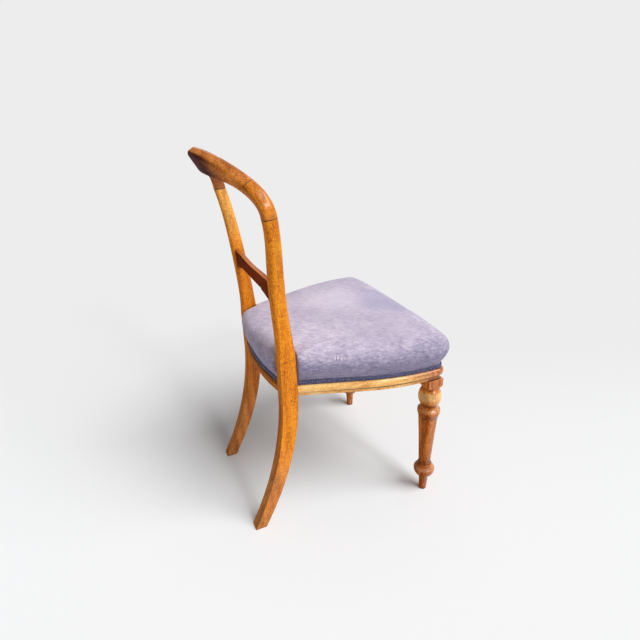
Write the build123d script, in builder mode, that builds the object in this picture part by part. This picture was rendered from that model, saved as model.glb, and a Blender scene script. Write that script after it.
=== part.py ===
"""Balloon back dining chair with a stuffed-over seat, turned front legs and sabre rear legs.

Millimetres, +Z up.  The sitter faces -Y and the sitter's left is +X.  The origin is on the floor,
under the middle of the chair's overall box.
"""

from build123d import *
from math import cos, pi, sin, sqrt
import os

os.makedirs("parts", exist_ok=True)

# ---- overall ------------------------------------------------------------------------------
overall_height = 875.0  # floor to the top of the crest rail
overall_depth = 504.0  # front of the upholstery to the back of the crest rail
upholstery_overhang = 10.0  # how far the cover swells past the seat frame at the front

# ---- rear posts and sabre legs --------------------------------------------------------------
post_span = 316.0  # over the outer faces of the two rear posts, at the seat
post_width = 30.0  # one post, side to side
post_depth = 38.0  # one post, front to back
post_step_z = 446.0  # height of the step where the square post turns into the rounded stile
post_edge = 1.5  # softened arris of the square posts
crest_rake = 102.0  # crest rail's back behind the posts' back face
sabre_start_z = 360.0  # below this height the rear leg sweeps back
sabre_sweep = 93.0  # how far the back edge sweeps back, down to the sole
sabre_curve = 2.0  # 1 is a straight leg; more keeps the sweep for the foot
foot_splay = 4.0  # how far the foot stands outwards
foot_width = 27.0
foot_depth = 28.0
foot_edge = 1.2  # worn edge round the sole

# ---- hoop of the back ---------------------------------------------------------------------
shoulder_drop = 111.0  # joint between stile and shoulder, below the top of the crest rail
stile_foot_at = 0.10  # shares of the stile's length, where its section is set
stile_waist_at = 0.296  # narrowest place of the balloon
stile_swell_at = 0.657  # where the stiles flare outwards
waist_half = 142.5  # centreline of the stile from the middle plane, at the waist
swell_half = 160.0
shoulder_half = 196.0
stile_lean_waist = 5.0  # centreline behind the post's centreline at each place
stile_lean_swell = 14.5
stile_lean_shoulder = 29.5
shoulder_tilt = 0.12  # lean of the hoop at the shoulder, per unit of height
arch_fullness = 2.3  # 2 makes the arch an ellipse, more makes it squarer
crest_tilt = 0.58  # lean of the crest rail's face, per unit of height
stile_foot_depth = 36.0  # front to back, just above the step
stile_foot_edge = 6.0
stile_waist_width = 27.0
stile_waist_depth = 33.5
stile_swell_width = 29.0
stile_swell_depth = 29.5
shoulder_width = 30.0  # width of the band at the shoulder joint
shoulder_depth = 27.0  # its thickness, front to back
crest_joint_width = 29.0  # width of the band at the joint between shoulder and crest rail
crest_height = 52.0  # width of the band at the middle of the crest rail
crest_depth = 25.0
hoop_edge = 9.0  # rounded edges of the hoop
crest_joint_turn = 34.0  # where the crest rail starts, in degrees of the arch from the shoulder

# ---- mid rail of the back -------------------------------------------------------------------
mid_rail_at = 0.55  # top edge in the middle, as a share of the way from the step to the shoulder
mid_rail_height = 28.0  # in the middle
mid_rail_drop = 27.0  # how far its lower edge comes down, inside the stiles
mid_rail_flare = 6.0  # how far its top edge sweeps up, inside the stiles
mid_rail_flare_x = 109.0  # where the sweep starts, from the middle
mid_rail_cusp_x = 78.0  # the carved nick of its lower edge, from the middle
mid_rail_thickness = 12.0
mid_rail_bow = 4.0
mid_rail_round = 2.5  # rounding of its front edges
mid_rail_set_in = 2.0  # its back face in front of the stiles' back face
mid_rail_cusp = 4.0  # height of the nick, below the arched stretch of the lower edge
mid_rail_arch = 1.0  # rise of that stretch
mid_rail_flare_slope = 0.9  # slopes of its edges: top edge at the stiles
mid_rail_drop_slope = 0.75  # lower edge at the stiles
mid_rail_cusp_slope = 0.1  # lower edge at the nick

# ---- seat frame ---------------------------------------------------------------------------
seat_front_width = 472.0  # over the side mouldings at the front corners
side_straight_run = 150.0  # straight stretch of the side rail, forward of the post
side_spread = 51.0  # how much the seat widens on each side over that stretch
front_bow = 11.0  # front rail, ends to middle
back_bow = 15.0  # back rail, ends to middle
corner_radius = 20.0
rail_bottom_z = 347.0
moulding_height = 30.0  # show-wood moulding
bead_height = 8.0  # lower bead of the moulding
bead_inset = 7.0
groove_height = 2.5
groove_inset = 9.5
thumb_radius = 7.5  # rounding of the upper thumb moulding
rail_height = 51.0  # from the bottom of the moulding to the top of the rail, under the cover
rebate_inset = 11.5  # rail set in above the moulding, to take the cover
rail_thickness = 28.0  # at the thin ends of the side rails
front_rail_thickness = 27.0
back_rail_thickness = 26.0

# ---- front legs ---------------------------------------------------------------------------
leg_inset_x = 22.0  # leg axis from the side of the seat frame
leg_inset_y = 35.0  # leg axis behind the middle of the front rail's face
leg_joint = 23.0  # leg axis to the faces that the rails butt against
block_width = 40.0  # square block under the moulding
block_bottom_z = 323.0
block_under_height = 13.0  # turned underside of the block, up to its corners
block_under_radius = 29.6
block_under_belly = 4.4  # each belly or hollow is the rise of its arc over the chord
block_neck_radius = 19.0  # neck between block and ball
block_neck_height = 5.0
block_neck_in = 2.0  # neck's end inside the block
ball_radius = 28.0
neck_radius = 19.5  # neck under the ball
neck_z = 270.0
collar_z = 256.0
collar_radius = 27.7
collar_height = 7.0
collar_edge = (2.2, 1.0)  # in and up, from its outer edge to the dish
dish_hollow = 2.9
flare_top = (0.6, 10.0)  # in and down from the collar's edge, to the top of the flare
flare_hollow = 0.8
shaft_top_z = 228.0
shaft_top_radius = 24.0
shaft_hollow = 0.8
shaft_foot_z = 100.0
shaft_foot_radius = 16.2
cove_hollow = 2.0
ring_z = 68.0  # the ring's widest place
ring_radius = 26.8
ring_lip = (3.5, 8.0)  # in and up, from there to the cove
ring_lip_belly = 1.1
ring_belly = 3.8
toe_top_z = 46.0
toe_top_radius = 12.2
toe_radius = 9.6
facet_count = 8
facet_run_out = 14.0  # flats run out below the shaft's foot
facet_arch_drop = 2.0  # their arched tops spring below the shaft's top
facet_arch = 0.9  # rise of those arches, per half width of a flat

# ---- upholstery ---------------------------------------------------------------------------
crown_z = 483.0  # top of the crown
crown_rise = 18.0  # crown above the rolled edge of the seat
bulge_z = 430.0  # where the side swells furthest
edge_roll = 25.0  # how far the edge of the seat rolls inwards
crown_top_share = 0.25  # plan of the crown's flat top, as a share of the seat's
cover_thickness = 2.0
cover_inset = 7.5  # cover behind the moulding's edge, where the braid lies
cover_gap = 0.3  # between soft parts and what they pass
braid_height = 10.5
braid_thickness = 2.4
webbing_width = 50.0
webbing_thickness = 1.5
webbing_pitch_x = 82.0
webbing_pitch_y = 92.0
webbing_lap = 17.0  # length of each strap on top of the rails
webbing_shift = 12.0  # middle cross strap behind the middle of the side rails
webbing_rise = 9.0  # run over which a strap changes level
webbing_play = 1.0  # between a strap's edge and where the other changes level
webbing_inset = 14.0  # ends of the webbing and the hessian behind the moulding's edge
hessian_thickness = 1.0

# ---- joinery ------------------------------------------------------------------------------
dowel_radius = 4.0
dowel_length = 40.0
hoop_dowel_radius = 3.0
hoop_dowel_length = 28.0
slim_dowel_radius = 3.0
slim_dowel_length = 28.0
rail_dowel_heights = (15.0, 41.0)  # over the bottom of the rail, at front legs and side rails
back_dowel_heights = (6.0, 28.0)  # the back rail's, between the side rail's in the post
hoop_dowel_pitch = 11.0
mid_rail_dowel_pitch = 20.0
mid_rail_dowel_in = 2.0  # middle of its dowels, inside the stile
glue_gap = 0.1  # round each dowel
dowel_end_gap = 1.0
joint_gap = 0.3  # where a curved face meets another
corner_block_reach = 55.0  # along each rail
corner_block_height = 38.0
corner_block_drop = 4.0  # top of the block below the top of the rails
screw_radius = 2.1
screw_length = 28.0
screw_head_radius = 4.2
screw_head_height = 3.0
screw_head_depth = 6.0  # head below the sloping face of the corner block
screw_shares = (0.30, 0.62)  # along that face, from the front or back rail
screw_height_shares = (0.65, 0.35)  # up the block
tack_radius = 0.8
tack_length = 10.0
tack_head_radius = 3.0
tack_head_height = 0.8
tack_inset = 7.0  # tacks from the inner edge of the rail

# ---- what follows from them -----------------------------------------------------------------
rail_front_y = -overall_depth / 2 + upholstery_overhang
post_back_y = overall_depth / 2 - crest_rake
post_front_y = post_back_y - post_depth
post_y = post_back_y - post_depth / 2
post_outer_x = post_span / 2
post_inner_x = post_outer_x - post_width
post_x = post_outer_x - post_width / 2
front_half = seat_front_width / 2
front_corner_y = rail_front_y + front_bow
leg_x = front_half - leg_inset_x
leg_y = rail_front_y + leg_inset_y
leg_face_x = leg_x - leg_joint
leg_face_y = leg_y + leg_joint
front_inner_y = front_corner_y + front_rail_thickness
back_inner_y = post_back_y - back_rail_thickness
moulding_top_z = rail_bottom_z + moulding_height
rail_top_z = rail_bottom_z + rail_height
shoulder_z = overall_height - shoulder_drop
stile_rise = shoulder_z - post_step_z
mid_rail_top_z = post_step_z + mid_rail_at * stile_rise
far = 2 * max(seat_front_width, overall_depth, overall_height)  # reach of the cutting shapes


def side_inner_x(y):
    """Straight inner face of the left side rail, from the post to the front leg."""
    rear_x = post_outer_x - rail_thickness
    front_x = front_half - rail_thickness - front_bow / 2
    return rear_x + (front_x - rear_x) * (post_front_y - y) / (post_front_y - leg_face_y)


def seat_plan(inset, corner, height=0.0, factor=1.0):
    """Plan of the seat: bowed front and back, serpentine sides, drawn in by inset all round."""
    corner_x = front_half - inset
    corner_y = front_corner_y + inset
    back_y = post_back_y - inset
    post_edge_x = post_outer_x - inset
    post_corner_y = post_front_y - max(inset, 0)
    bow_x = post_inner_x - max(inset, 0)
    break_x = post_outer_x + side_spread - inset
    break_y = post_front_y - side_straight_run
    with BuildSketch(Plane.XY.offset(height)) as plan:
        with BuildLine():
            ThreePointArc((-corner_x, corner_y), (0, corner_y - front_bow), (corner_x, corner_y))
            ThreePointArc((-bow_x, back_y), (0, back_y + back_bow), (bow_x, back_y))
            for side in (1, -1):
                Line((side * bow_x, back_y), (side * post_edge_x, back_y))
                Line((side * post_edge_x, back_y), (side * post_edge_x, post_corner_y))
                straight = Line((side * post_edge_x, post_corner_y), (side * break_x, break_y))
                TangentArc(straight @ 1, (side * corner_x, corner_y), tangent=straight % 1)
        make_face()
        fillet([v for v in plan.vertices() if abs(v.Y - corner_y) < 0.01], corner)
        scale(by=factor)
    return plan.sketch


def cut_posts(gap):
    """Clears the corners of the seat for the rear posts."""
    for side in (1, -1):
        with BuildSketch(Plane.XY) as notch:
            with Locations((side * (post_inner_x - gap), post_front_y - gap)):
                Rectangle(far, far, align=(Align.MIN if side > 0 else Align.MAX, Align.MIN))
        extrude(notch.sketch, amount=far, mode=Mode.SUBTRACT)


def keep_plan(low, high):
    """Keeps what stands over the plan rectangle from low to high."""
    with BuildSketch(Plane.XY) as region:
        with Locations(low):
            Rectangle(high[0] - low[0], high[1] - low[1], align=(Align.MIN, Align.MIN))
    extrude(region.sketch, amount=far, mode=Mode.INTERSECT)


def bore(planes, radius, length):
    """Blind dowel holes, centred on planes whose z axes lie along the dowels."""
    with Locations(*planes):
        Cylinder(radius + glue_gap, length + 2 * dowel_end_gap, mode=Mode.SUBTRACT)


def mirrored_plane(plane):
    """The same dowel on the other side of the chair."""
    x_dir, z_dir = plane.x_dir, plane.z_dir
    return Plane(
        origin=(-plane.origin.X, plane.origin.Y, plane.origin.Z),
        x_dir=(-x_dir.X, x_dir.Y, x_dir.Z),
        z_dir=(-z_dir.X, z_dir.Y, z_dir.Z),
    )


# ---- centreline of the hoop, left side --------------------------------------------------------
# The stile rises from the post through waist and swell to the shoulder.  Seen from the front the
# arch is a quarter of a full ellipse, and in plan it is set back towards the middle of the crest.
tilt_cos = 1 / sqrt(1 + crest_tilt**2)
tilt_sin = crest_tilt * tilt_cos
half_band = crest_height / 2 - hoop_edge
half_thick = crest_depth / 2 - hoop_edge
crest_z = overall_height - half_band * tilt_cos - half_thick * tilt_sin - hoop_edge
crest_y = overall_depth / 2 - half_band * tilt_sin - half_thick * tilt_cos - hoop_edge
arch_rise = crest_z - shoulder_z
shoulder_y = post_y + stile_lean_shoulder
arch_back = shoulder_tilt * arch_rise
crest_bow = crest_y - shoulder_y - arch_back  # depth of the hollow curve of the crest in plan


def arch_plane(turn):
    """Plane square to the arch, turned from the shoulder, 0, to the middle of the crest, 90."""
    power = 2 / arch_fullness
    side, rise = cos(turn * pi / 180), sin(turn * pi / 180)
    across, up = side**power, rise**power
    inwards, upwards = rise ** (2 - power), side ** (2 - power)
    point = Vector(
        shoulder_half * across,
        shoulder_y + arch_back * up + crest_bow * (1 - across**2),
        shoulder_z + arch_rise * up,
    )
    along = Vector(
        -shoulder_half * inwards,
        arch_back * upwards + 2 * crest_bow * across * inwards,
        arch_rise * upwards,
    )
    return hoop_plane(point, along.normalized())


def hoop_plane(point, along):
    """Plane square to the hoop, its x axis pointing out of the balloon and leaning back with the
    face of the hoop."""
    lean = shoulder_tilt + (crest_tilt - shoulder_tilt) * along.X**2
    outward = Vector(along.Z, -lean * along.X, -along.X)
    outward = outward - along * outward.dot(along)
    return Plane(origin=point, x_dir=outward, z_dir=along)


with BuildLine() as stile_line:
    Spline(
        (post_x, post_y, post_step_z),
        (waist_half, post_y + stile_lean_waist, post_step_z + stile_waist_at * stile_rise),
        (swell_half, post_y + stile_lean_swell, post_step_z + stile_swell_at * stile_rise),
        (shoulder_half, shoulder_y, shoulder_z),
        tangents=((0, 0, 1), (0, shoulder_tilt, 1)),
    )
stile_path = stile_line.edges()[0]


def stile_plane(share):
    """Plane square to the stile, from the post's step, 0, to the shoulder joint, 1."""
    return hoop_plane(stile_path.position_at(share), stile_path.tangent_at(share))


def hoop_section(plane, width, depth, edge, grow=0.0):
    """Section of the hoop: width in the face of the balloon, depth front to back."""
    with BuildSketch(plane) as section:
        RectangleRounded(width + 2 * grow, depth + 2 * grow, edge + grow)
    return section.sketch


def arch_section(turn):
    """Section of the arch, from the shoulder joint, 0, to the middle of the crest rail, 90."""
    if turn <= crest_joint_turn:
        width = shoulder_width + (crest_joint_width - shoulder_width) * turn / crest_joint_turn
    else:
        rise = sin((turn - crest_joint_turn) / (90 - crest_joint_turn) * pi / 2)
        width = crest_joint_width + (crest_height - crest_joint_width) * rise**2
    depth = shoulder_depth + (crest_depth - shoulder_depth) * turn / 90
    return hoop_section(arch_plane(turn), width, depth, hoop_edge)


def stile(grow=0.0):
    """Sections of the rounded stile, from the post's step to the shoulder joint."""
    sizes = (
        (0.0, post_width, post_depth, post_edge),
        (stile_foot_at, stile_waist_width, stile_foot_depth, stile_foot_edge),
        (stile_waist_at, stile_waist_width, stile_waist_depth, hoop_edge),
        (stile_swell_at, stile_swell_width, stile_swell_depth, hoop_edge),
        (1.0, shoulder_width, shoulder_depth, hoop_edge),
    )
    return [
        hoop_section(stile_plane(share), width, depth, edge, grow)
        for share, width, depth, edge in sizes
    ]


# ---- dowels, left side ------------------------------------------------------------------------
hoop_planes = []
for joint in (arch_plane(0), arch_plane(crest_joint_turn)):
    for step in (-0.5, 0.5):
        hoop_planes.append(Plane(joint.origin + joint.x_dir * step * hoop_dowel_pitch,
                                 x_dir=joint.x_dir, z_dir=joint.z_dir))

mid_rail_y = post_y + stile_lean_waist + stile_waist_depth / 2 - mid_rail_set_in  # its back face
mid_rail_bottom_z = mid_rail_top_z - mid_rail_height
mid_rail_dowel_x = waist_half - stile_waist_width / 2 + mid_rail_dowel_in
mid_rail_dowel_z = (mid_rail_top_z + mid_rail_bottom_z) / 2 - mid_rail_arch
mid_rail_planes = [
    Plane(
        (
            mid_rail_dowel_x,
            mid_rail_y - mid_rail_thickness / 2,
            mid_rail_dowel_z + step * mid_rail_dowel_pitch,
        ),
        z_dir=(1, 0, 0),
    )
    for step in (-0.5, 0.5)
]
# seat rail dowels lie in the middle of each rail's upper part, behind the cover
upper_half = (rail_thickness - rebate_inset) / 2
side_dowel_rear_x = side_inner_x(post_front_y - dowel_length / 4) + upper_half
side_dowel_front_x = side_inner_x(leg_face_y + dowel_length / 4) + upper_half
front_dowel_y = front_inner_y - (front_rail_thickness - rebate_inset) / 2 - front_bow / 6
back_dowel_y = back_inner_y + (back_rail_thickness - rebate_inset) / 2
post_planes, leg_planes = [], []
for height in rail_dowel_heights:
    dowel_z = rail_bottom_z + height
    post_planes.append(Plane((side_dowel_rear_x, post_front_y, dowel_z), z_dir=(0, 1, 0)))
    leg_planes.append(Plane((side_dowel_front_x, leg_face_y, dowel_z), z_dir=(0, 1, 0)))
    leg_planes.append(Plane((leg_face_x, front_dowel_y, dowel_z), z_dir=(1, 0, 0)))
for height in back_dowel_heights:
    dowel_z = rail_bottom_z + height
    post_planes.append(Plane((post_inner_x, back_dowel_y, dowel_z), z_dir=(1, 0, 0)))
frame_planes = post_planes + leg_planes


def both_sides(planes):
    return planes + [mirrored_plane(p) for p in planes]


# ---- rear legs: sabre leg, square post and stile in one piece -----------------------------------
with BuildPart() as rear_leg_left:
    for step in range(5):
        down = 1 - step / 4  # 1 at the sole, 0 where the sweep starts
        foot_x = post_x + foot_splay * down**2
        width = post_width + (foot_width - post_width) * down
        depth = post_depth + (foot_depth - post_depth) * down**2
        foot_y = post_back_y + sabre_sweep * down**sabre_curve - depth / 2
        with BuildSketch(Plane((foot_x, foot_y, sabre_start_z * (1 - down)))):
            RectangleRounded(width, depth, post_edge)
    loft()
    chamfer(rear_leg_left.faces().sort_by(Axis.Z)[0].edges(), foot_edge)
    with BuildSketch(Plane((post_x, post_y, sabre_start_z))):
        RectangleRounded(post_width, post_depth, post_edge)
    extrude(amount=post_step_z - sabre_start_z)
    loft(stile())
    bore(hoop_planes[:2], hoop_dowel_radius, hoop_dowel_length)
    bore(mid_rail_planes, slim_dowel_radius, slim_dowel_length)
    bore(post_planes, dowel_radius, dowel_length)
with BuildPart() as rear_leg_right:
    add(mirror(rear_leg_left.part, about=Plane.YZ, mode=Mode.PRIVATE))

# ---- shoulders and crest rail: the arch of the hoop ---------------------------------------------
with BuildPart() as shoulder_left:
    loft([arch_section(crest_joint_turn * step / 4) for step in range(5)])
    bore(hoop_planes, hoop_dowel_radius, hoop_dowel_length)
with BuildPart() as shoulder_right:
    add(mirror(shoulder_left.part, about=Plane.YZ, mode=Mode.PRIVATE))

crest_steps = 8
with BuildPart() as crest_rail:
    crest_turn = 90 - crest_joint_turn
    loft([arch_section(90 - crest_turn * step / crest_steps) for step in range(crest_steps + 1)])
    mirror(about=Plane.YZ)
    bore(both_sides(hoop_planes[2:]), hoop_dowel_radius, hoop_dowel_length)

# ---- mid rail -----------------------------------------------------------------------------------
# Its outline is drawn on the front, its hollow back in plan, and its ends are scribed to the stiles.
mid_rail_end_x = (waist_half + swell_half) / 2
with BuildPart() as mid_rail:
    low_z = mid_rail_bottom_z - mid_rail_drop
    with BuildSketch(Plane.XZ):
        with BuildLine():
            for side in (1, -1):
                Spline(
                    (0, mid_rail_top_z),
                    (side * mid_rail_flare_x, mid_rail_top_z + mid_rail_arch),
                    (side * mid_rail_end_x, mid_rail_top_z + mid_rail_flare),
                    tangents=((side, 0), (side, mid_rail_flare_slope)),
                )
                Line(
                    (side * mid_rail_end_x, mid_rail_top_z + mid_rail_flare),
                    (side * mid_rail_end_x, low_z),
                )
                Spline(
                    (side * mid_rail_end_x, low_z),
                    (side * mid_rail_cusp_x, mid_rail_bottom_z - mid_rail_cusp),
                    tangents=((-side, mid_rail_drop_slope), (-side, mid_rail_cusp_slope)),
                )
                Line(
                    (side * mid_rail_cusp_x, mid_rail_bottom_z - mid_rail_cusp),
                    (side * mid_rail_cusp_x, mid_rail_bottom_z - mid_rail_arch),
                )
            Spline(
                (-mid_rail_cusp_x, mid_rail_bottom_z - mid_rail_arch),
                (0, mid_rail_bottom_z),
                (mid_rail_cusp_x, mid_rail_bottom_z - mid_rail_arch),
            )
        make_face()
    extrude(amount=far, both=True)
    with BuildSketch(Plane.XY):
        with BuildLine():
            for face_y in (mid_rail_y, mid_rail_y - mid_rail_thickness):
                ThreePointArc(
                    (-mid_rail_end_x, face_y), (0, face_y + mid_rail_bow), (mid_rail_end_x, face_y)
                )
            for side in (1, -1):
                Line(
                    (side * mid_rail_end_x, mid_rail_y),
                    (side * mid_rail_end_x, mid_rail_y - mid_rail_thickness),
                )
        make_face()
    extrude(amount=far, mode=Mode.INTERSECT)
    front_face = mid_rail.faces().sort_by(Axis.Y)[0]
    long_edges = front_face.edges().filter_by(lambda edge: edge.length > mid_rail_flare_x)
    fillet(long_edges, mid_rail_round)
    with BuildPart(mode=Mode.PRIVATE) as scribe:
        loft(stile(joint_gap))
    add(scribe.part, mode=Mode.SUBTRACT)
    add(mirror(scribe.part, about=Plane.YZ, mode=Mode.PRIVATE), mode=Mode.SUBTRACT)
    bore(both_sides(mid_rail_planes), slim_dowel_radius, slim_dowel_length)

# ---- corner blocks and what fastens them, left side ---------------------------------------------
# Each block fills the angle between two rails, notched round the leg, and takes a screw into each.
front_reach_y = leg_face_y + corner_block_reach
rear_reach_y = post_front_y - corner_block_reach
block_plans = {
    "front": (
        (leg_face_x - corner_block_reach, front_inner_y),
        (leg_face_x, front_inner_y),
        (leg_face_x, leg_face_y),
        (side_inner_x(leg_face_y), leg_face_y),
        (side_inner_x(front_reach_y), front_reach_y),
    ),
    "rear": (
        (post_inner_x - corner_block_reach, back_inner_y),
        (post_inner_x, back_inner_y),
        (post_inner_x, post_front_y),
        (side_inner_x(post_front_y), post_front_y),
        (side_inner_x(rear_reach_y), rear_reach_y),
    ),
}
block_low_z = rail_top_z - corner_block_drop - corner_block_height


def slope_y(plan, x):
    """Where the sloping face of a corner block lies, at x."""
    (x0, y0), (x1, y1) = plan[0], plan[-1]
    return y0 + (y1 - y0) * (x - x0) / (x1 - x0)


screw_planes = []
for name, plan in block_plans.items():
    forward = 1 if name == "rear" else -1
    (x0, y0), (x1, y1) = plan[0], plan[-1]
    rail_x, side_x = (x0 + share * (x1 - x0) for share in screw_shares)
    rail_z, side_z = (block_low_z + share * corner_block_height for share in screw_height_shares)
    into_rail = (rail_x, slope_y(plan, rail_x) + forward * screw_head_depth, rail_z)
    into_side = (side_x + screw_head_depth, slope_y(plan, side_x), side_z)
    screw_planes.append(Plane(into_rail, z_dir=(0, forward, 0)))
    screw_planes.append(Plane(into_side, z_dir=(1, 0, 0)))


def screws(planes, gap=0.0, mode=Mode.ADD):
    """Countersunk screws, each head's middle on its plane and the shank along the plane's z."""
    from_head = (Align.CENTER, Align.CENTER, Align.MIN)
    with Locations(*planes):
        Cone(screw_head_radius + gap, screw_radius + gap, screw_head_height, align=from_head, mode=mode)
        Cylinder(screw_radius + gap, screw_length + gap, align=from_head, mode=mode)


def screw_bores():
    """Clearance for the screws, and the counterbores that their heads went in by."""
    planes = both_sides(screw_planes)
    screws(planes, glue_gap, Mode.SUBTRACT)
    with Locations(*planes):
        Cylinder(
            screw_head_radius + glue_gap,
            corner_block_reach,
            align=(Align.CENTER, Align.CENTER, Align.MAX),
            mode=Mode.SUBTRACT,
        )


# ---- webbing: three straps each way, tacked to the tops of the rails ----------------------------
webbing_x = [step * webbing_pitch_x for step in (-1, 0, 1)]
webbing_middle_y = (post_front_y + leg_face_y) / 2 + webbing_shift
webbing_y = [webbing_middle_y + step * webbing_pitch_y for step in (-1, 0, 1)]
webbing_top_z = rail_top_z + 2 * webbing_thickness
tack_points = []
for strap_x in webbing_x:
    for step in (-0.25, 0.25):
        tack_points.append((strap_x + step * webbing_width, front_inner_y - tack_inset))
        tack_points.append((strap_x + step * webbing_width, back_inner_y + tack_inset))
for strap_y in webbing_y:
    for step in (-0.25, 0.25):
        tack_y = strap_y + step * webbing_width
        tack_points.append((side_inner_x(tack_y) + tack_inset, tack_y))
        tack_points.append((-side_inner_x(tack_y) - tack_inset, tack_y))
tack_places = [(x, y, rail_top_z + webbing_thickness) for x, y in tack_points]


def tack_bores():
    with Locations(*tack_places):
        Cylinder(tack_radius + glue_gap, 2 * (tack_length + glue_gap), mode=Mode.SUBTRACT)


def rail_bores():
    bore(both_sides(frame_planes), dowel_radius, dowel_length)
    screws(both_sides(screw_planes), glue_gap, Mode.SUBTRACT)
    tack_bores()


# ---- seat frame -----------------------------------------------------------------------------------
# One moulded form is worked all round the seat; rails and leg tops are cut from it.
with BuildPart() as seat_form:
    extrude(seat_plan(bead_inset, corner_radius - bead_inset, rail_bottom_z), amount=bead_height)
    fillet(seat_form.edges().group_by(Axis.Z)[0], bead_height / 3)
    extrude(
        seat_plan(groove_inset, corner_radius - groove_inset, rail_bottom_z + bead_height),
        amount=groove_height,
    )
    thumb_bottom_z = rail_bottom_z + bead_height + groove_height
    with BuildPart(mode=Mode.PRIVATE) as thumb:
        extrude(seat_plan(0, corner_radius, thumb_bottom_z), amount=moulding_top_z - thumb_bottom_z)
        fillet(thumb.edges().group_by(Axis.Z)[-1] + thumb.edges().group_by(Axis.Z)[0], thumb_radius)
    add(thumb.part)
    extrude(
        seat_plan(rebate_inset, corner_radius - rebate_inset, moulding_top_z),
        amount=rail_top_z - moulding_top_z,
    )
    cut_posts(0)

with BuildPart() as seat_ring:
    add(seat_form.part)
    with BuildSketch(Plane.XY):
        with BuildLine():
            rear_x, front_x = side_inner_x(post_front_y), side_inner_x(front_inner_y)
            Polyline(
                (-rear_x, back_inner_y),
                (rear_x, back_inner_y),
                (rear_x, post_front_y),
                (front_x, front_inner_y),
                (-front_x, front_inner_y),
                (-rear_x, post_front_y),
                close=True,
            )
        make_face()
    extrude(amount=far, mode=Mode.SUBTRACT)

with BuildPart() as front_rail:
    add(seat_ring.part)
    keep_plan((-leg_face_x, -far), (leg_face_x, leg_face_y))
    rail_bores()
with BuildPart() as back_rail:
    add(seat_ring.part)
    keep_plan((-post_inner_x, post_front_y), (post_inner_x, far))
    rail_bores()
with BuildPart() as side_rail_left:
    add(seat_ring.part)
    keep_plan((post_inner_x / 2, leg_face_y), (far, post_front_y))
    rail_bores()
with BuildPart() as side_rail_right:
    add(mirror(side_rail_left.part, about=Plane.YZ, mode=Mode.PRIVATE))

# ---- front legs: moulded top, square block, ball, collar, faceted shaft, ring and toe ------------
with BuildPart() as turned_leg:
    with BuildSketch(Plane.XZ):
        with BuildLine():
            sole = Line((0, 0), (toe_radius - foot_edge, 0))
            worn = Line(sole @ 1, (toe_radius, foot_edge))
            toe = Line(worn @ 1, (toe_top_radius, toe_top_z))
            under_ring = SagittaArc(toe @ 1, (ring_radius, ring_z), -ring_belly)
            lip_in, lip_up = ring_lip
            lip = SagittaArc(
                under_ring @ 1, (ring_radius - lip_in, ring_z + lip_up), -ring_lip_belly
            )
            cove = SagittaArc(lip @ 1, (shaft_foot_radius, shaft_foot_z), cove_hollow)
            shaft = SagittaArc(cove @ 1, (shaft_top_radius, shaft_top_z), shaft_hollow)
            flare_in, flare_down = flare_top
            flare = SagittaArc(
                shaft @ 1, (collar_radius - flare_in, collar_z - flare_down), flare_hollow
            )
            edge_in, edge_up = collar_edge
            collar = Polyline(
                flare @ 1,
                (collar_radius, collar_z - collar_height),
                (collar_radius, collar_z),
                (collar_radius - edge_in, collar_z + edge_up),
            )
            dish = SagittaArc(collar @ 1, (neck_radius, neck_z), dish_hollow)
            ball_top_z = block_bottom_z - block_neck_height
            ball = ThreePointArc(
                dish @ 1,
                (ball_radius, (neck_z + ball_top_z) / 2),
                (block_neck_radius, ball_top_z),
            )
            Polyline(
                ball @ 1,
                (block_neck_radius, block_bottom_z + block_neck_in),
                (0, block_bottom_z + block_neck_in),
                (0, 0),
            )
        make_face()
    revolve(axis=Axis.Z)
    # flats of the shaft, each with an arched top
    slope = (shaft_top_radius - shaft_foot_radius) / (shaft_top_z - shaft_foot_z)
    flat_half = shaft_top_radius * sin(pi / facet_count)
    flat_set_in = cos(pi / facet_count)
    arch_start = shaft_top_z - shaft_foot_z - facet_arch_drop
    for step in range(facet_count):
        turn = 2 * pi * step / facet_count
        out = Vector(cos(turn), sin(turn), 0)
        up = (Vector(0, 0, 1) + out * slope).normalized()
        foot = out * (flat_set_in * shaft_foot_radius) + Vector(0, 0, shaft_foot_z)
        flat = Plane(origin=foot, x_dir=up, z_dir=Vector(0, 0, 1).cross(out).cross(up))
        with BuildSketch(flat):
            with BuildLine():
                Polyline(
                    (arch_start, -flat_half),
                    (-facet_run_out, -flat_half),
                    (-facet_run_out, flat_half),
                    (arch_start, flat_half),
                )
                ThreePointArc(
                    (arch_start, -flat_half),
                    (arch_start + flat_half * facet_arch, 0),
                    (arch_start, flat_half),
                )
            make_face()
        extrude(amount=ring_radius, mode=Mode.SUBTRACT)

with BuildPart() as leg_block:
    with BuildSketch(Plane.XY.offset(block_bottom_z)):
        Rectangle(block_width, block_width)
    extrude(amount=rail_bottom_z - block_bottom_z)
    with BuildSketch(Plane.XZ):
        with BuildLine():
            underside = SagittaArc(
                (block_neck_radius, block_bottom_z),
                (block_under_radius, block_bottom_z + block_under_height),
                -block_under_belly,
            )
            Polyline(
                underside @ 1,
                (block_under_radius, rail_bottom_z),
                (0, rail_bottom_z),
                (0, block_bottom_z),
                underside @ 0,
            )
        make_face()
    revolve(axis=Axis.Z, mode=Mode.INTERSECT)

with BuildPart() as front_leg_left:
    add(seat_form.part)
    keep_plan((leg_face_x, -far), (far, leg_face_y))
    with Locations((leg_x, leg_y, 0)):
        add(turned_leg.part)
        add(leg_block.part)
    bore(leg_planes, dowel_radius, dowel_length)
with BuildPart() as front_leg_right:
    add(mirror(front_leg_left.part, about=Plane.YZ, mode=Mode.PRIVATE))

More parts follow.
